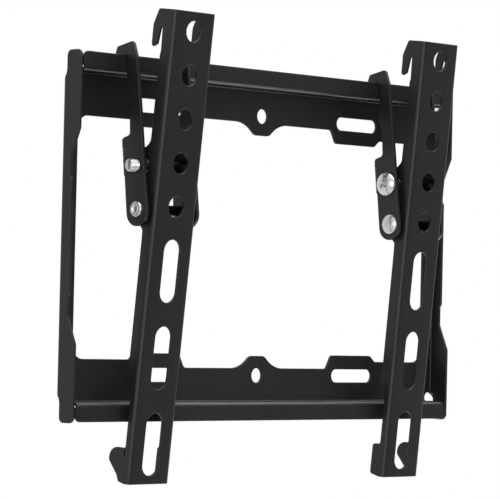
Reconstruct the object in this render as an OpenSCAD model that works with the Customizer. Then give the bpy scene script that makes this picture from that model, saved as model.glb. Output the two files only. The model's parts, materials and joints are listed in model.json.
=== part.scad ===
// Tilting television wall mount: a folded steel wall plate, two tilt
// brackets that hang on its top lip, and two arms that bolt to the set.
// X runs across the wall, Y points into the wall (the wall is Y = 0),
// Z is up. The origin is the middle of the plate's back face.

/* [Wall plate] */
// Overall width of the wall plate
plate_w = 257; // [245:1:300]
// Height from lip edge to lip edge
plate_h = 167; // [160:1:172]
// Sheet thickness of the wall plate
plate_t = 1.4; // [1.2:0.1:1.8]
// Depth of the folded rim in front of the wall
rim_d = 11.6; // [10.4:0.1:12.2]
// Height of the upper face of the top shelf above the middle
shelf_z = 76; // [75:0.5:77]
// Half width of the window
win_x = 119.6; // [112:0.1:120]
// Half height of the window between the tabs
win_z = 58.8; // [57:0.1:60]
// Distance of the long slots from the middle
slot_x = 67.5; // [60:0.1:72]
// Height of the long slots and the middle holes
slot_z = 62.3; // [61:0.1:63]
// End-to-end length of a long slot
slot_l = 29.2; // [20:0.1:30]
// Width of a long slot
slot_w = 6.4; // [5:0.1:7]
// Diameter of the middle holes
mid_d = 7; // [5:0.1:8]

/* [Arms] */
// Overall width of an arm
arm_w = 26.2; // [24:0.2:27]
// Sheet thickness of an arm
arm_t = 1.4; // [1.2:0.1:1.8]
// Pitch of the round holes
hole_pitch = 20; // [18:0.5:20]
// Diameter of the round holes
hole_d = 9.6; // [6:0.1:10]
// Width of an arm slot
arm_slot_w = 10.2; // [6:0.1:10.4]
// End-to-end length of an arm slot
arm_slot_l = 28.9; // [20:0.1:32]
// Pitch of the arm slots
arm_slot_p = 39.8; // [36:0.1:40]
// Lean of the left arm, top forward, in degrees
tilt_l = 6.4; // [0:0.1:7]
// Lean of the right arm, top forward, in degrees
tilt_r = 5.7; // [0:0.1:7]
// Middle of the left arm across the plate
arm_xl = -83.2; // [-104:0.1:-30]
// Middle of the right arm across the plate
arm_xr = 88.9; // [30:0.1:104]

/* [Tilt brackets] */
// Overall width of a bracket
br_w = 33.9; // [33.4:0.1:36]
// Sheet thickness of a bracket
br_t = 1.8; // [1.5:0.1:2]
// Lean of the bracket ears, top towards the wall, in degrees
br_lean = 6.1; // [5:0.1:6.6]
// Distance from the pivot up to the lock screw
lock_r = 20; // [19:0.5:20.5]

/* [Fasteners] */
// Diameter of the pivot rivet
rivet_d = 5; // [4.5:0.1:5]
// Diameter of the rivet head
rivet_head_d = 9.4; // [8:0.1:10]
// Diameter of the lock screw
screw_d = 5.9; // [4.9:0.1:5.9]
// Diameter of the lock screw head
screw_head_d = 11.6; // [10:0.1:12]
// Clear length of thread past the tapped ear
screw_tail = 4; // [2:0.5:6]

/* [Hidden] */
$fn = 64;
e = 0.01;
black = [0.16, 0.16, 0.17];
bright = [0.78, 0.78, 0.76];
nylon = [0.1, 0.1, 0.1];
// pivot axis of both arms, in the plate's frame
piv_y = -20.63;
piv_z = 13.1;
// outer bend radii
ro = plate_t + 0.8;
aro = arm_t + 0.7;
bro = br_t + 1.6;
lip_top = plate_h / 2;
lip_end = plate_w / 2 - plate_t - 1;
face_y = -8.08;
hole5_z = 2.4;
arm_top = 91.4;
arm_bot = -125;
gap = br_w / 2 - br_t - arm_w / 2;
lock_y = 0;

// points of a polygon whose corners [x, y, r] are rounded
function unit(v) = v / norm(v);
function arc_pts(c, a, b, n) =
  let (t = acos(max(-1, min(1, (a * b) / (norm(a) * norm(b))))))
  [for (k = [0 : n]) c + (sin((1 - k / n) * t) * a + sin(k / n * t) * b) / sin(t)];
function corner(p, q, s, n) =
  let (c = [q[0], q[1]], u = unit([p[0], p[1]] - c), v = unit([s[0], s[1]] - c),
       h = acos(max(-1, min(1, u * v))) / 2)
  (q[2] < 0.01 || h > 89) ? [c] :
  let (m = c + unit(u + v) * q[2] / sin(h), d = q[2] / tan(h))
  arc_pts(m, c + u * d - m, c + v * d - m, n);
function rounded(pts, n = 6) =
  [for (i = [0 : len(pts) - 1])
    each corner(pts[(i + len(pts) - 1) % len(pts)], pts[i], pts[(i + 1) % len(pts)], n)];

// a sheet in the XZ plane, from Y = 0 forward to Y = -t
module sheet_xz(t) { rotate([90, 0, 0]) linear_extrude(t) children(); }
// a sheet in the YZ plane, from X = 0 to X = t; 2-D x runs along +Y
module sheet_yz(t) { rotate([90, 0, 90]) linear_extrude(t) children(); }
// a quarter of a bent tube wall, first quadrant
module quarter(outer, t) {
  intersection() {
    difference() { circle(outer); circle(outer - t); }
    square(outer + 1);
  }
}
module slot_2d(l, w) {
  square([l - w, w], center = true);
  for (s = [-1, 1]) translate([s * (l - w) / 2, 0]) circle(w / 2);
}

// ---- wall plate ------------------------------------------------------
function half_window() = [
  [-win_x, win_z - 3.6, 6], [-84.6, win_z - 3.6, 2], [-81, win_z - 6.6, 2],
  [-52.4, win_z - 6.6, 2], [-49, win_z, 2.4], [-11.3, win_z, 16], [-5, win_z - 5.9, 4],
  [5, win_z - 5.9, 4], [11.3, win_z, 16], [49, win_z, 2.4],
  [52.4, win_z - 6.6, 2], [81, win_z - 6.6, 2], [84.6, win_z - 3.6, 2],
  [win_x, win_z - 3.6, 6]];
function window() = concat(half_window(),
  [for (i = [len(half_window()) - 1 : -1 : 0])
    [half_window()[i][0], -half_window()[i][1], half_window()[i][2]]]);

module plate_back() {
  sheet_xz(plate_t) difference() {
    square([plate_w - 2 * ro, 2 * (shelf_z - ro)], center = true);
    polygon(rounded(window()));
    for (s = [-1, 1]) {
      translate([0, s * slot_z]) circle(mid_d / 2);
      for (u = [-1, 1]) {
        translate([u * slot_x, s * slot_z]) slot_2d(slot_l, slot_w);
      }
    }
  }
}
// shelf and lip above the window, drawn at the top
module rail() {
  r_x = lip_end;
  // bend from the back up into the shelf
  translate([-r_x + 1.2, -ro, shelf_z - ro]) sheet_yz(2 * r_x - 2.4) quarter(ro, plate_t);
  // shelf
  translate([-r_x + 1.2, -rim_d + ro, shelf_z - plate_t]) cube([2 * r_x - 2.4, rim_d - 2 * ro, plate_t]);
  // bend from the shelf up into the lip
  translate([r_x - 0.6, -rim_d + ro, shelf_z - plate_t + ro]) rotate([0, 0, 180])
    mirror([0, 0, 1]) sheet_yz(2 * r_x - 1.2) quarter(ro, plate_t);
  // lip
  translate([0, -rim_d + plate_t, 0]) sheet_xz(plate_t) polygon(rounded([
    [-r_x, shelf_z - plate_t + ro, 0], [-r_x, lip_top, 2.8],
    [r_x, lip_top, 2.8], [r_x, shelf_z - plate_t + ro, 0]]));
}
// right-hand side flange with its bend
module side_flange() {
  x = plate_w / 2;
  b_z = shelf_z - 3.4;
  translate([x - ro, -ro, -b_z]) linear_extrude(2 * b_z) quarter(ro, plate_t);
  d1 = rim_d + 0.3; d2 = rim_d - 4.2; d3 = rim_d - 5.1;
  half = [[-ro, b_z, 0], [-ro - 0.4, b_z + 1.2, 0.6], [-ro - 0.4, lip_top + 0.5, 2.6], [-d1, lip_top + 0.5, 2.6],
    [-d1, 48.5, 4], [-d3, 36, 2], [-d3, 27, 0.6], [-d2, 25.6, 0.6]];
  all = concat(half, [for (i = [len(half) - 1 : -1 : 0]) [half[i][0], -half[i][1], half[i][2]]]);
  translate([x - plate_t, 0, 0]) sheet_yz(plate_t) polygon(rounded(all));
}
module wall_plate() {
  color(black) difference() {
    union() {
      plate_back();
      rail();
      mirror([0, 0, 1]) rail();
      side_flange();
      mirror([1, 0, 0]) side_flange();
    }
    // round reliefs where the four bends meet
    for (s = [-1, 1], u = [-1, 1])
      translate([s * (plate_w / 2 - 2.6), 1, u * (shelf_z - 2.9)]) rotate([90, 0, 0]) cylinder(r = 2.6, h = 4.4);
  }
}

// ---- arm, drawn with its pivot at the origin and upright -------------
// outer flange, with its catch, pivot lug and foot
function arm_top_side() = [
  [face_y + aro, arm_top, 0], [2.7, arm_top, 1.4], [5.6, arm_top - 7.2, 3.5],
  [5.55, 75, 0.9], [4.6, 73.8, 0.8], [2, 75.2, 0.5], [0.7, 82.9, 0.55], [-0.55, 82.9, 0.55],
  [-0.95, 72.3, 1.2], [-0.5, 70.8, 1], [-0.3, 31, 4], [2.4, 28.3, 3], [8, 27.5, 3],
  [9.1, 22.5, 3], [9.1, 17, 4], [6.9, 4, 6], [5.6, -3.5, 4], [2.8, -6.7, 2.5],
  [-0.55, -8.8, 2], [-0.75, -13, 3], [-0.8, -79.5, 2], [-4, -84.5, 2]];
function outer_side() = concat(arm_top_side(), [
  [-4, -108.6, 1], [6.1, -109.1, 5.2], [6.2, -115.4, 2.6], [0.2, -121.4, 5],
  [-1.2, arm_bot + 0.6, 1], [-4.5, arm_bot, 2], [face_y + aro, arm_bot, 0]]);
// inner flange, with a plain shoulder in place of the foot
function inner_side() = concat(arm_top_side(), [
  [-4, -108.6, 1], [0.8, -109.1, 1.4], [0.9, arm_bot + 1, 1.5],
  [-4.5, arm_bot, 2], [face_y + aro, arm_bot, 0]]);
module arm() {
  // face
  translate([0, face_y + arm_t, 0]) sheet_xz(arm_t) difference() {
    translate([-arm_w / 2 + aro, arm_bot]) square([arm_w - 2 * aro, arm_top - arm_bot]);
    for (k = [0 : 4]) translate([0, hole5_z + k * hole_pitch]) circle(hole_d / 2);
    for (k = [0 : 2]) translate([0.2, -27 - k * arm_slot_p]) rotate(90) slot_2d(arm_slot_l, arm_slot_w);
  }
  for (s = [0, 1]) mirror([s, 0, 0]) {
    // fold
    translate([arm_w / 2 - aro, face_y + aro, arm_bot]) mirror([0, 1, 0])
      linear_extrude(arm_top - arm_bot) quarter(aro, arm_t);
    // flange
    translate([arm_w / 2 - arm_t, 0, 0]) difference() {
      sheet_yz(arm_t) polygon(rounded(s == 1 ? outer_side() : inner_side()));
      translate([-1, 0, 0]) rotate([0, 90, 0]) cylinder(d = rivet_d + 0.12, h = arm_t + 2);
      lock_slot();
      // small pressed mark above the foot
      if (s == 1) translate([arm_t - 0.5, -3.9, -112.4]) linear_extrude(3) square([1.2, 1.2], center = true);
    }
  }
}
// arc slot about the pivot that the lock screw runs in
module lock_slot() {
  a0 = br_lean - 0.7; a1 = br_lean + 7.7; w = screw_d + 0.5;
  translate([-1, 0, 0]) rotate([90, 0, 90]) linear_extrude(arm_t + 2) {
    intersection() {
      difference() { circle(lock_r + w / 2); circle(lock_r - w / 2); }
      polygon([[0, 0], 40 * [sin(a0), cos(a0)], 40 * [sin(a1), cos(a1)]]);
    }
    for (a = [a0, a1]) translate(lock_r * [sin(a), cos(a)]) circle(w / 2);
  }
}

// ---- tilt bracket, drawn with its pivot at the origin ----------------
// bracket coordinates of a point given relative to the pivot
function lean(y, z) = [y * cos(br_lean) - z * sin(br_lean), y * sin(br_lean) + z * cos(br_lean)];
// faces of the lip relative to the pivot, with running clearance
lip_f = -rim_d - piv_y - 0.25;
lip_b = -rim_d + plate_t - piv_y + 0.25;
lip_t = lip_top - piv_z + 0.15;
leg_z = shelf_z - piv_z + 1.3;
web_z = 16.4; web_h = 13; web_y = 9.5;
function ear_side() = [
  [-6, 0, 0], [-5.6, 30, 4], [-5.4, 47, 4], [-4.8, 69, 3], [-2.9, 76.9, 1.5], [7.6, 75.8, 1.4],
  [9.2, 72.6, 1.6], concat(lean(lip_b + 4.6, leg_z), [1]), concat(lean(lip_b, leg_z), [0.6]),
  concat(lean(lip_b, lip_t), [0.5]), concat(lean(lip_f, lip_t), [0.5]),
  concat(lean(lip_f, 52), [0.5]), [1.6, 48, 2], [2.3, 34.4, 1.6],
  [web_y - 1.8, 33.4, 1.6], [web_y - 1.8, web_z + web_h - 0.2, 0], [web_y - bro, web_z + web_h - 0.2, 0],
  [web_y - bro, web_z + 0.2, 0], [7.2, web_z + 0.2, 0.3], [7.2, 0, 0], [7.2, -7.7, 6.4], [-6, -7.7, 6.4]];
module bracket() {
  rotate([-br_lean, 0, 0]) {
    for (s = [0, 1]) mirror([s, 0, 0]) {
      translate([br_w / 2 - br_t, 0, 0]) difference() {
        sheet_yz(br_t) polygon(rounded(ear_side()));
        translate([-1, 0, 0]) rotate([0, 90, 0]) cylinder(d = rivet_d + 0.06, h = br_t + 2);
        translate([-1, lock_y, lock_r]) rotate([0, 90, 0]) cylinder(d = screw_d + 0.12, h = br_t + 2);
      }
      translate([br_w / 2 - bro, web_y - bro, web_z]) linear_extrude(web_h) quarter(bro, br_t);
    }
    translate([-br_w / 2 + bro, web_y - br_t, web_z]) cube([br_w - 2 * bro, br_t, web_h]);
  }
}

// ---- fasteners -------------------------------------------------------
// rivet along +X, head at +X
module rivet() {
  h = br_w / 2;
  rotate([0, 90, 0]) {
    translate([0, 0, -h - 0.4]) cylinder(d = rivet_d, h = 2 * h + 0.4 + e);
    translate([0, 0, h]) rotate_extrude() intersection() {
      translate([0, -4.1]) circle(6.4);
      square([rivet_head_d / 2, 3]);
    }
    // tubular tail, rolled over the outer ear
    translate([0, 0, -h - 1.3]) difference() {
      cylinder(d = 7.2, h = 1.3);
      translate([0, 0, -1]) cylinder(d = 3.8, h = 2);
    }
  }
}
module screw() {
  h = br_w / 2;
  translate([0, 0, lock_r]) rotate([0, 90, 0]) {
    translate([0, 0, -h - screw_tail + 0.7]) cylinder(d = screw_d, h = 2 * h + screw_tail - 0.6 + 0.1);
    translate([0, 0, -h - screw_tail]) cylinder(d1 = screw_d - 1.4, d2 = screw_d, h = 0.7);
    difference() {
      translate([0, 0, h + 0.1]) rotate_extrude() intersection() {
        translate([0, -3.6]) circle(7.6);
        square([screw_head_d / 2, 3.7]);
        union() { square([screw_head_d, 3.9]); }
      }
      for (a = [0, 90]) rotate([0, 0, a]) translate([-3, -0.6, h + 2.2]) cube([6, 1.2, 4]);
    }
  }
}
module washer(x, outer, inner) {
  translate([x, 0, 0]) rotate([0, 90, 0]) difference() {
    cylinder(d = outer, h = gap - 0.2);
    translate([0, 0, -1]) cylinder(d = inner, h = gap + 2);
  }
}
w_x = br_w / 2 - br_t - gap + 0.2;

// ---- placing ---------------------------------------------------------
module at_left() { translate([arm_xl, piv_y, piv_z]) children(); }
module at_right() { translate([arm_xr, piv_y, piv_z]) mirror([1, 0, 0]) children(); }
module up_lock() { rotate([-br_lean, 0, 0]) translate([0, 0, lock_r]) children(); }

module left_arm() { color(black) at_left() rotate([tilt_l, 0, 0]) arm(); }
module right_arm() { color(black) at_right() rotate([tilt_r, 0, 0]) arm(); }
module left_bracket() { color(black) at_left() bracket(); }
module right_bracket() { color(black) at_right() bracket(); }
module left_pivot_rivet() { color(bright) at_left() rivet(); }
module right_pivot_rivet() { color(bright) at_right() rivet(); }
module left_lock_screw() { color(bright) at_left() rotate([-br_lean, 0, 0]) screw(); }
module right_lock_screw() { color(bright) at_right() rotate([-br_lean, 0, 0]) screw(); }
module washer_out(d, i) { mirror([1, 0, 0]) washer(w_x, d, i); }
module washer_in(d, i) { washer(w_x, d, i); }
module left_pivot_washer_outer() { color(nylon) at_left() washer_out(8.6, rivet_d + 0.2); }
module left_pivot_washer_inner() { color(nylon) at_left() washer_in(8.6, rivet_d + 0.2); }
module right_pivot_washer_outer() { color(nylon) at_right() washer_out(8.6, rivet_d + 0.2); }
module right_pivot_washer_inner() { color(nylon) at_right() washer_in(8.6, rivet_d + 0.2); }
module left_lock_washer_outer() { color(nylon) at_left() up_lock() washer_out(9.6, screw_d + 0.5); }
module left_lock_washer_inner() { color(nylon) at_left() up_lock() washer_in(9.6, screw_d + 0.5); }
module right_lock_washer_outer() { color(nylon) at_right() up_lock() washer_out(9.6, screw_d + 0.5); }
module right_lock_washer_inner() { color(nylon) at_right() up_lock() washer_in(9.6, screw_d + 0.5); }

wall_plate();
left_arm();
left_bracket();
left_pivot_rivet();
left_lock_screw();
left_pivot_washer_outer();
left_pivot_washer_inner();
left_lock_washer_outer();
left_lock_washer_inner();
right_arm();
right_bracket();
right_pivot_rivet();
right_lock_screw();
right_pivot_washer_outer();
right_pivot_washer_inner();
right_lock_washer_outer();
right_lock_washer_inner();
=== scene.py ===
import json
import math
import bpy
import bmesh
from mathutils import Matrix, Vector


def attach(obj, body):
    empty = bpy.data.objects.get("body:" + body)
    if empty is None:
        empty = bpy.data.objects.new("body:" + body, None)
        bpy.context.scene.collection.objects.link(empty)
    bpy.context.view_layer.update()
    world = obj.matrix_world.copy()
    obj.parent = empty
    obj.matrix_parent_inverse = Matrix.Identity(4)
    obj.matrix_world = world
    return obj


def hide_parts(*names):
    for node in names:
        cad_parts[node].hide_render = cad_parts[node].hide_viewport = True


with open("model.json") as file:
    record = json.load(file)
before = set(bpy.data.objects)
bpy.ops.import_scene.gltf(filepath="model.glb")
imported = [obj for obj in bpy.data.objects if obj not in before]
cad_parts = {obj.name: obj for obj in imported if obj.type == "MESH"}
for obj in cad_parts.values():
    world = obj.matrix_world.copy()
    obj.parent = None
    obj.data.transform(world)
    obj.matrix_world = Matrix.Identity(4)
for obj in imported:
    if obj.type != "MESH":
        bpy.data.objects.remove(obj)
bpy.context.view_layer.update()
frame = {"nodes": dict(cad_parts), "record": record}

nodes = frame["nodes"]
MM = 0.001

# where the fittings sit, in millimetres
PIV_Y, PIV_Z = -20.63, 13.1
LEAN = math.radians(6.1)
LOCK_R = 20.0
ARM_X = {"left": -83.2, "right": 88.9}
HALF = 33.9 / 2


# ---------------------------------------------------------------- materials
def new_mat(name):
    m = bpy.data.materials.new(name)
    m.use_nodes = True
    nt = m.node_tree
    nt.nodes.clear()
    out = nt.nodes.new("ShaderNodeOutputMaterial")
    b = nt.nodes.new("ShaderNodeBsdfPrincipled")
    nt.links.new(b.outputs[0], out.inputs[0])
    return m, nt, b


def noise(nt, coord, scale, detail=2.0, rough=0.5):
    n = nt.nodes.new("ShaderNodeTexNoise")
    n.inputs["Scale"].default_value = scale
    n.inputs["Detail"].default_value = detail
    n.inputs["Roughness"].default_value = rough
    nt.links.new(coord, n.inputs["Vector"])
    return n.outputs["Fac"]


def ramp(nt, fac, stops):
    r = nt.nodes.new("ShaderNodeValToRGB")
    el = r.color_ramp.elements
    while len(el) > 1:
        el.remove(el[-1])
    el[0].position = stops[0][0]
    el[0].color = (*stops[0][1], 1)
    for p, c in stops[1:]:
        e = el.new(p)
        e.color = (*c, 1)
    nt.links.new(fac, r.inputs["Fac"])
    return r.outputs["Color"]


def to_range(nt, fac, a, b):
    m = nt.nodes.new("ShaderNodeMapRange")
    m.inputs["From Min"].default_value = 0.3
    m.inputs["From Max"].default_value = 0.7
    m.inputs["To Min"].default_value = a
    m.inputs["To Max"].default_value = b
    nt.links.new(fac, m.inputs["Value"])
    return m.outputs["Result"]


def bump(nt, height, strength, distance, normal=None):
    b = nt.nodes.new("ShaderNodeBump")
    b.inputs["Strength"].default_value = strength
    b.inputs["Distance"].default_value = distance
    nt.links.new(height, b.inputs["Height"])
    if normal is not None:
        nt.links.new(normal, b.inputs["Normal"])
    return b.outputs["Normal"]


def powder_coat(name, seed):
    m, nt, b = new_mat(name)
    co = nt.nodes.new("ShaderNodeTexCoord")
    mp = nt.nodes.new("ShaderNodeMapping")
    mp.inputs["Location"].default_value = (seed * 0.37, seed * 0.11, -seed * 0.23)
    nt.links.new(co.outputs["Object"], mp.inputs["Vector"])
    v = mp.outputs["Vector"]
    broad = noise(nt, v, 35, 3)
    fine = noise(nt, v, 1500, 2)
    grain = noise(nt, v, 4200, 1)
    mix = nt.nodes.new("ShaderNodeMix")
    mix.data_type = "FLOAT"
    mix.inputs["Factor"].default_value = 0.5
    nt.links.new(broad, mix.inputs["A"])
    nt.links.new(fine, mix.inputs["B"])
    col = ramp(nt, mix.outputs["Result"], [(0.30, (0.0082, 0.0084, 0.0089)), (0.70, (0.0150, 0.0152, 0.0159))])
    nt.links.new(col, b.inputs["Base Color"])
    nt.links.new(to_range(nt, fine, 0.34, 0.46), b.inputs["Roughness"])
    n1 = bump(nt, fine, 0.45, 0.00006)
    n2 = bump(nt, grain, 0.25, 0.00002, n1)
    nt.links.new(n2, b.inputs["Normal"])
    return m


def zinc(name, light=1.0, gloss=0.0):
    m, nt, b = new_mat(name)
    co = nt.nodes.new("ShaderNodeTexCoord")
    v = co.outputs["Object"]
    broad = noise(nt, v, 420, 3)
    fine = noise(nt, v, 4200, 2)
    lo, hi = [(light * k, light * k, light * k * 0.97) for k in (0.68, 0.82)]
    col = ramp(nt, broad, [(0.30, lo), (0.70, hi)])
    nt.links.new(col, b.inputs["Base Color"])
    b.inputs["Metallic"].default_value = 1.0
    nt.links.new(to_range(nt, fine, 0.22 + gloss, 0.34 + gloss), b.inputs["Roughness"])
    nt.links.new(bump(nt, fine, 0.10, 0.00002), b.inputs["Normal"])
    return m


def nylon(name):
    m, nt, b = new_mat(name)
    co = nt.nodes.new("ShaderNodeTexCoord")
    v = co.outputs["Object"]
    broad = noise(nt, v, 300, 3)
    fine = noise(nt, v, 2600, 2)
    col = ramp(nt, broad, [(0.3, (0.016, 0.016, 0.016)), (0.7, (0.028, 0.028, 0.028))])
    nt.links.new(col, b.inputs["Base Color"])
    nt.links.new(to_range(nt, fine, 0.5, 0.62), b.inputs["Roughness"])
    nt.links.new(bump(nt, fine, 0.2, 0.00003), b.inputs["Normal"])
    return m


SHEETS = ("wall_plate", "left_arm", "right_arm", "left_bracket", "right_bracket")
COAT = {n: powder_coat("powder_coat_" + n, i) for i, n in enumerate(SHEETS)}
ZINC = zinc("zinc_plate")
# the shanks between the ears get zinc darkened as painted shade, standing in for the shade that falls between
# the arm flanges
PAINTED_SHADE_SHANK = zinc("painted_shade_shank", 0.07, 0.16)
NYLON = nylon("black_nylon")


def set_mat(o, m):
    if not o.data.materials:
        o.data.materials.append(m)
    for i in range(len(o.data.materials)):
        o.data.materials[i] = m


for n, o in nodes.items():
    set_mat(o, COAT[n] if n in COAT else NYLON if "washer" in n else ZINC)


# ------------------------------------------------- rounded sheet edges
def round_edges(src, name, w, angle=30.0):
    """A copy of a mesh whose sharp edges carry a small coated radius w."""
    bm = bmesh.new()
    bm.from_mesh(src)
    bmesh.ops.remove_doubles(bm, verts=bm.verts, dist=2e-6)
    bmesh.ops.dissolve_degenerate(bm, dist=1e-6, edges=bm.edges)
    bmesh.ops.triangulate(bm, faces=bm.faces)
    bm.normal_update()
    lim = math.radians(angle)
    sharp = {e for e in bm.edges if len(e.link_faces) != 2 or e.calc_face_angle(0.0) > lim}
    verts, normals, faces = [], [], []
    corner = {}
    shift = {}
    v_sectors = {}
    for v in bm.verts:
        todo = set(v.link_faces)
        sectors = []
        while todo:
            f = todo.pop()
            group, stack = {f}, [f]
            while stack:
                g = stack.pop()
                for e in g.edges:
                    if v in e.verts and e not in sharp:
                        for h in e.link_faces:
                            if h in todo:
                                todo.discard(h)
                                group.add(h)
                                stack.append(h)
            sectors.append(group)
        v_sectors[v] = []
        for group in sectors:
            sides = []
            nrm = Vector()
            for f in group:
                for l in f.loops:
                    if l.vert == v:
                        nrm += f.normal * l.calc_angle()
                c = f.calc_center_median()
                for e in f.edges:
                    if v in e.verts and e in sharp:
                        t = (e.other_vert(v).co - v.co).normalized()
                        p = c - v.co
                        p -= t * p.dot(t)
                        if p.length > 1e-12:
                            sides.append(p.normalized())
            nrm = nrm.normalized() if nrm.length > 0 else Vector((0, 0, 1))
            s = Vector()
            if len(sides) == 2:
                k = sides[0].dot(sides[1])
                if k > -0.8:
                    s = (sides[0] + sides[1]) * (w / (1 + k))
                    s -= nrm * s.dot(nrm)
                    if s.length > 2.2 * w:
                        s *= 2.2 * w / s.length
            i = len(verts)
            verts.append(v.co + s)
            normals.append(nrm)
            v_sectors[v].append(i)
            for f in group:
                corner[(f, v)] = i
    for f in bm.faces:
        faces.append([corner[(f, v)] for v in f.verts])
    # one middle vertex for a plain edge point, one for each edge at a corner
    mid = {}
    for v in bm.verts:
        es = [e for e in v.link_edges if e in sharp and len(e.link_faces) == 2]
        if not es:
            continue
        pts = {}
        for e in es:
            a, b = (corner[(f, v)] for f in e.link_faces)
            t = (e.other_vert(v).co - v.co).normalized()
            m = (verts[a] + verts[b]) / 2
            q = v.co + t * (m - v.co).dot(t)
            pts[e] = (q + (m - q) * 0.586, normals[a] + normals[b])
        if len(v_sectors[v]) <= 2:
            i = len(verts)
            verts.append(sum((p for p, _ in pts.values()), Vector()) / len(pts))
            nn = sum((n for _, n in pts.values()), Vector())
            normals.append(nn.normalized() if nn.length > 0 else Vector((0, 0, 1)))
            for e in es:
                mid[(v, e)] = i
        else:
            for e in es:
                mid[(v, e)] = len(verts)
                verts.append(pts[e][0])
                nn = pts[e][1]
                normals.append(nn.normalized() if nn.length > 0 else Vector((0, 0, 1)))
    for e in sharp:
        if len(e.link_faces) != 2:
            continue
        for f in e.link_faces:
            vs = list(f.verts)
            a, b = e.verts
            if vs[(vs.index(a) + 1) % len(vs)] != b:
                a, b = b, a
            faces.append([corner[(f, b)], corner[(f, a)], mid[(a, e)], mid[(b, e)]])
    # caps where three or more faces meet
    for v, secs in v_sectors.items():
        if len(secs) < 3:
            continue
        nxt = {}
        for f in v.link_faces:
            vs = list(f.verts)
            k = vs.index(v)
            e_out = next(e for e in f.edges if v in e.verts and vs[(k + 1) % len(vs)] in e.verts)
            e_in = next(e for e in f.edges if v in e.verts and vs[k - 1] in e.verts)
            if (v, e_out) in mid:
                nxt[mid[(v, e_out)]] = corner[(f, v)]
            if (v, e_in) in mid:
                nxt[corner[(f, v)]] = mid[(v, e_in)]
        if not nxt:
            continue
        start = next(iter(nxt))
        ring, cur = [start], nxt.get(start)
        while cur is not None and cur != start and len(ring) < 24:
            ring.append(cur)
            cur = nxt.get(cur)
        if cur == start and len(ring) > 2:
            faces.append(ring)
    bm.free()
    clean = []
    for f in faces:
        g = []
        for i in f:
            if not g or g[-1] != i:
                g.append(i)
        if len(g) > 1 and g[0] == g[-1]:
            g.pop()
        if len(g) > 2:
            clean.append(g)
    # nothing stands past the sheet's own box
    lo = [min(v.co[i] for v in src.vertices) for i in range(3)]
    hi = [max(v.co[i] for v in src.vertices) for i in range(3)]
    me = bpy.data.meshes.new(name)
    me.from_pydata([tuple(min(max(v[i], lo[i]), hi[i]) for i in range(3)) for v in verts], [], clean)
    me.validate()
    for p in me.polygons:
        p.use_smooth = True
    me.normals_split_custom_set_from_vertices([tuple(n) for n in normals])
    return me


def body_of(node):
    for b, rows in frame["record"]["behaviour"]["bodies"].items():
        if node in rows:
            return b


def place(me, name, node, mat):
    o = bpy.data.objects.new(name, me)
    bpy.context.scene.collection.objects.link(o)
    me.materials.clear()
    me.materials.append(mat)
    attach(o, body_of(node))
    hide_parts(node)
    return o


for n in SHEETS:
    place(round_edges(nodes[n].data, n + "_sheet", 0.32 * MM), n + "_sheet", n, COAT[n])
for n in nodes:
    if "washer" in n:
        place(round_edges(nodes[n].data, n + "_ring", 0.25 * MM), n + "_ring", n, NYLON)


# ---------------------------------------------------------------- fasteners
def lathe(bm, prof, segs=72):
    """Turn [radius, height] pairs about z; a radius of 0 closes the end."""
    rings = []
    for r, z in prof:
        if r < 1e-9:
            rings.append([bm.verts.new((0, 0, z))])
        else:
            rings.append([bm.verts.new((r * math.cos(2 * math.pi * k / segs), r * math.sin(2 * math.pi * k / segs), z)) for k in range(segs)])
    for a, b in zip(rings, rings[1:]):
        for k in range(segs):
            j = (k + 1) % segs
            if len(a) == 1:
                bm.faces.new((a[0], b[j], b[k]))
            elif len(b) == 1:
                bm.faces.new((a[k], a[j], b[0]))
            else:
                bm.faces.new((a[k], a[j], b[j], b[k]))


def arc(cx, cz, r, a0, a1, n):
    return [(cx + r * math.cos(math.radians(a0 + (a1 - a0) * k / n)), cz + r * math.sin(math.radians(a0 + (a1 - a0) * k / n))) for k in range(n + 1)]


def to_mesh(bm, name, sharp=38):
    bmesh.ops.recalc_face_normals(bm, faces=bm.faces)
    me = bpy.data.meshes.new(name)
    bm.to_mesh(me)
    bm.free()
    for p in me.polygons:
        p.use_smooth = True
    me.set_sharp_from_angle(angle=math.radians(sharp))
    return me


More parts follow.
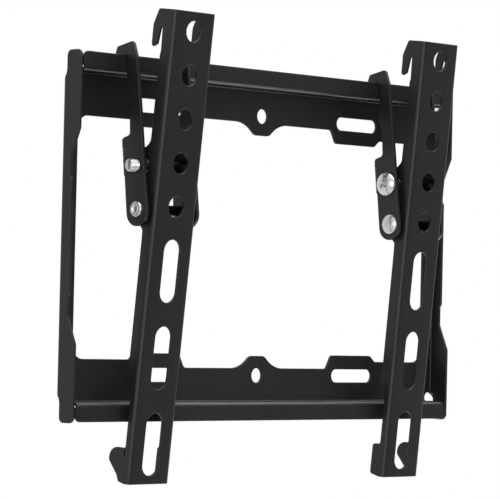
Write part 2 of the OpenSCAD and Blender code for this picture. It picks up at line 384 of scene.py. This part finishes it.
def screw_mesh(name):
    """Pan head screw along +z in millimetres, head up, middle of the bracket at 0."""
    bm = bmesh.new()
    pitch, r_out, depth = 1.0, 2.95, 0.52
    z0, z1 = -HALF - 4.0, HALF - 0.2
    segs, per = 48, 10
    rows = int((z1 - z0) / pitch * per)
    prev = None
    for i in range(rows + 1):
        z = z0 + (z1 - z0) * i / rows
        row = []
        for k in range(segs):
            ph = (z / pitch - k / segs) % 1.0
            # threaded over the tail, plain under the head
            run = min(1.0, max(0.0, (z0 + 10.0 - z) / 1.2))
            cut = max(0.0, 1 - abs(ph - 0.5) / 0.43) * run
            r = r_out - depth * cut
            # chamfered start of the thread
            r = min(r, r_out - 0.75 + (z - z0) * 1.0)
            a = 2 * math.pi * k / segs
            row.append(bm.verts.new((r * math.cos(a), r * math.sin(a), z)))
        if prev:
            for k in range(segs):
                j = (k + 1) % segs
                bm.faces.new((prev[k], prev[j], row[j], row[k]))
        else:
            first = row
        prev = row
    mid0 = bm.verts.new((0, 0, z0 + 0.06))
    for k in range(segs):
        bm.faces.new((first[(k + 1) % segs], first[k], mid0))
    # shank up into the head
    top = [bm.verts.new((2.9 * math.cos(2 * math.pi * k / segs), 2.9 * math.sin(2 * math.pi * k / segs), HALF + 0.3)) for k in range(segs)]
    for k in range(segs):
        j = (k + 1) % segs
        bm.faces.new((prev[k], prev[j], top[j], top[k]))
    bm.faces.new(top)
    shank = to_mesh(bm, name + "_shank", 50)
    # head
    bm = bmesh.new()
    b = HALF + 0.1
    dome = []
    for k in range(15):
        r = 5.45 * (1 - k / 14)
        dome.append((r, b + math.sqrt(7.6 ** 2 - r * r) - 3.66))
    prof = [(0, b), (5.5, b), (5.72, b + 0.08), (5.8, b + 0.28), (5.8, b + 1.0), (5.72, b + 1.32)] + dome[:-1] + [(0, b + 3.94)]
    lathe(bm, prof, 96)
    head = to_mesh(bm, name + "_head", 60)
    # cross recess
    bm = bmesh.new()
    outline = []
    for q in range(4):
        c, s = math.cos(q * math.pi / 2), math.sin(q * math.pi / 2)
        for x, y in ((0.72, 0.72), (2.95, 0.55), (2.95, -0.55), (0.72, -0.72))[:3]:
            outline.append((c * x + s * y, -s * x + c * y))
    rings = []
    for z, k in ((b + 4.6, 1.10), (b + 3.4, 1.0), (b + 1.5, 0.48)):
        rings.append([bm.verts.new((x * k, y * k, z)) for x, y in outline])
    n = len(outline)
    for a, c in zip(rings, rings[1:]):
        for k in range(n):
            bm.faces.new((a[k], a[(k + 1) % n], c[(k + 1) % n], c[k]))
    bm.faces.new(rings[0])
    tip = bm.verts.new((0, 0, b + 1.1))
    for k in range(n):
        bm.faces.new((rings[-1][k], rings[-1][(k + 1) % n], tip))
    cut = to_mesh(bm, name + "_cut")
    ho = bpy.data.objects.new(name + "_tmp_head", head)
    co = bpy.data.objects.new(name + "_tmp_cut", cut)
    bpy.context.scene.collection.objects.link(ho)
    bpy.context.scene.collection.objects.link(co)
    mod = ho.modifiers.new("recess", "BOOLEAN")
    mod.operation, mod.object, mod.solver = "DIFFERENCE", co, "EXACT"
    dg = bpy.context.evaluated_depsgraph_get()
    dg.update()
    cut_head = bpy.data.meshes.new_from_object(ho.evaluated_get(dg))
    bpy.data.objects.remove(ho)
    bpy.data.objects.remove(co)
    cut_head = round_edges(cut_head, name + "_head_r", 0.10, 38)
    bm = bmesh.new()
    bm.from_mesh(shank)
    bm.from_mesh(cut_head)
    me = bpy.data.meshes.new(name)
    bm.to_mesh(me)
    bm.free()
    for p in me.polygons:
        p.use_smooth = True
    me.set_sharp_from_angle(angle=math.radians(42))
    return me


def rivet_mesh(name):
    bm = bmesh.new()
    h = HALF
    dome = []
    for k in range(13):
        r = 4.45 * k / 12
        dome.append((r, h + math.sqrt(6.4 ** 2 - r * r) - 4.12))
    dome.reverse()
    prof = [(0, -h - 0.35), (1.25, -h - 0.35), (1.75, -h - 0.5)] + \
        [(2.05, -h - 0.85)] + arc(2.72, -h - 0.62, 0.66, 190, 270, 6)[1:] + arc(2.74, -h - 0.42, 0.86, 270, 352, 7)[1:] + \
        [(3.5, -h), (2.5, -h + 0.05), (2.5, h - 0.05), (4.6, h), (4.7, h + 0.12), (4.7, h + 0.36), (4.6, h + 0.46)] + dome
    lathe(bm, prof, 84)
    return to_mesh(bm, name, 40)


def fasten(me, name, node, place_at):
    """Put a turned piece in place; its shank between the ears takes the darkened zinc, which is painted shade.
    """
    # faces between the ears, which get the zinc darkened as painted shade
    shaded_inner = [abs(p.center.z) < HALF - 1.85 for p in me.polygons]
    me.transform(place_at)
    o = place(me, name, node, ZINC)
    me.materials.append(PAINTED_SHADE_SHANK)
    for p, in_shade in zip(me.polygons, shaded_inner):
        p.material_index = 1 if in_shade else 0
    return o


for side, x0 in ARM_X.items():
    face = 1.0 if side == "left" else -1.0
    # local +z becomes the head direction
    turn = Matrix(((0, 0, face), (0, 1, 0), (-face, 0, 0))).to_4x4()
    pivot = Vector((x0, PIV_Y, PIV_Z))
    lock = pivot + Vector((0, LOCK_R * math.sin(LEAN), LOCK_R * math.cos(LEAN)))
    spin = Matrix.Rotation(math.radians(27 if side == "left" else -28), 4, "Z")
    fasten(screw_mesh(side + "_lock_screw_threaded"), side + "_lock_screw_threaded", side + "_lock_screw",
           Matrix.Scale(MM, 4) @ Matrix.Translation(lock) @ turn @ spin)
    fasten(rivet_mesh(side + "_rivet_turned"), side + "_rivet_turned", side + "_pivot_rivet",
           Matrix.Scale(MM, 4) @ Matrix.Translation(pivot) @ turn)


# ---------------------------------------------------------------- camera
# fitted to the edges of the photograph
YAW, PITCH, ROLL = math.radians(45.7), 0.025449, 0.022715
d = Vector((math.sin(YAW) * math.cos(PITCH), math.cos(YAW) * math.cos(PITCH), math.sin(PITCH)))
r = Vector((math.cos(YAW), -math.sin(YAW), 0))
u = r.cross(d)
r2 = r * math.cos(ROLL) + u * math.sin(ROLL)
u2 = -r * math.sin(ROLL) + u * math.cos(ROLL)
cam_data = bpy.data.cameras.new("camera")
cam_data.sensor_width = 36.0
cam_data.lens = 36.0 * 2968.73 / 500.0
cam_data.shift_x = -0.00086
cam_data.clip_start, cam_data.clip_end = 0.05, 20
cam = bpy.data.objects.new("camera", cam_data)
bpy.context.scene.collection.objects.link(cam)
cam.matrix_world = Matrix((
    (r2.x, u2.x, -d.x, -1.024463),
    (r2.y, u2.y, -d.y, -0.994936),
    (r2.z, u2.z, -d.z, -0.038189),
    (0, 0, 0, 1)))
bpy.context.scene.camera = cam

# ---------------------------------------------------------------- studio
scene = bpy.context.scene
scene.view_settings.view_transform = "Standard"
scene.view_settings.look = "None"
world = bpy.data.worlds.new("studio")
scene.world = world
world.use_nodes = True
wt = world.node_tree
wt.nodes.clear()
L = wt.links
w_out = wt.nodes.new("ShaderNodeOutputWorld")
w_mix = wt.nodes.new("ShaderNodeMixShader")
w_path = wt.nodes.new("ShaderNodeLightPath")
w_lit = wt.nodes.new("ShaderNodeBackground")
w_seen = wt.nodes.new("ShaderNodeBackground")
w_seen.inputs["Color"].default_value = (1, 1, 1, 1)
w_seen.inputs["Strength"].default_value = 1.0
w_lit.inputs["Color"].default_value = (1, 1, 1, 1)
w_dir = wt.nodes.new("ShaderNodeTexCoord").outputs["Generated"]


def w_math(op, a, b=None):
    n = wt.nodes.new("ShaderNodeMath")
    n.operation = op
    for i, v in enumerate((a, b)):
        if v is None:
            continue
        if isinstance(v, (int, float)):
            n.inputs[i].default_value = v
        else:
            L.new(v, n.inputs[i])
    return n.outputs[0]


def w_lobe(vec, lo, hi):
    """0 to 1 as a direction comes nearer to vec."""
    n = wt.nodes.new("ShaderNodeVectorMath")
    n.operation = "DOT_PRODUCT"
    L.new(w_dir, n.inputs[0])
    n.inputs[1].default_value = Vector(vec).normalized()
    m = wt.nodes.new("ShaderNodeMapRange")
    m.interpolation_type = "SMOOTHSTEP"
    m.inputs["From Min"].default_value = lo
    m.inputs["From Max"].default_value = hi
    L.new(n.outputs["Value"], m.inputs["Value"])
    return m.outputs["Result"]


sep = wt.nodes.new("ShaderNodeSeparateXYZ")
L.new(w_dir, sep.inputs[0])
up = w_math("ABSOLUTE", sep.outputs["Z"])
level = wt.nodes.new("ShaderNodeMapRange")
level.interpolation_type = "SMOOTHSTEP"
level.inputs["From Min"].default_value = 0.40
level.inputs["From Max"].default_value = 0.80
level.inputs["To Min"].default_value = 1.0
level.inputs["To Max"].default_value = 0.0
L.new(up, level.inputs["Value"])
# the room in front of the white sweep is dim, the sweep and top light are bright
front = w_math("MULTIPLY", w_lobe((0.12, -0.99, 0.0), 0.10, 0.62), level.outputs["Result"])
strength = w_math("SUBTRACT", 0.80, w_math("MULTIPLY", front, 0.50))
strength = w_math("ADD", strength, w_math("MULTIPLY", w_lobe((0.15, -0.35, 0.93), 0.72, 0.95), 2.0))
strength = w_math("ADD", strength, w_math("MULTIPLY", w_lobe((-0.80, 0.55, 0.20), 0.55, 0.95), -0.22))
strength = w_math("ADD", strength, w_math("MULTIPLY", w_lobe((0.77, 0.0, -0.64), 0.84, 0.97), 2.5))
strength = w_math("ADD", strength, w_math("MULTIPLY", w_lobe((0.72, 0.0, 0.70), 0.86, 0.98), 2.2))
strength = w_math("ADD", strength, w_math("MULTIPLY", w_lobe((-0.70, -0.71, 0.05), 0.90, 0.99), 2.4))
L.new(strength, w_lit.inputs["Strength"])
L.new(w_path.outputs["Is Camera Ray"], w_mix.inputs[0])
L.new(w_lit.outputs[0], w_mix.inputs[1])
L.new(w_seen.outputs[0], w_mix.inputs[2])
L.new(w_mix.outputs[0], w_out.inputs[0])

floor_mesh = bpy.data.meshes.new("floor")
bm = bmesh.new()
bmesh.ops.create_grid(bm, x_segments=1, y_segments=1, size=2.2)
bm.to_mesh(floor_mesh)
bm.free()
floor = bpy.data.objects.new("floor", floor_mesh)
scene.collection.objects.link(floor)
floor.location = (0, 0, -0.30)
fm, fnt, fb = new_mat("pale_floor")
fb.inputs["Base Color"].default_value = (0.92, 0.92, 0.92, 1)
fb.inputs["Roughness"].default_value = 0.9
floor_mesh.materials.append(fm)
floor.visible_glossy = False
floor.visible_diffuse = False
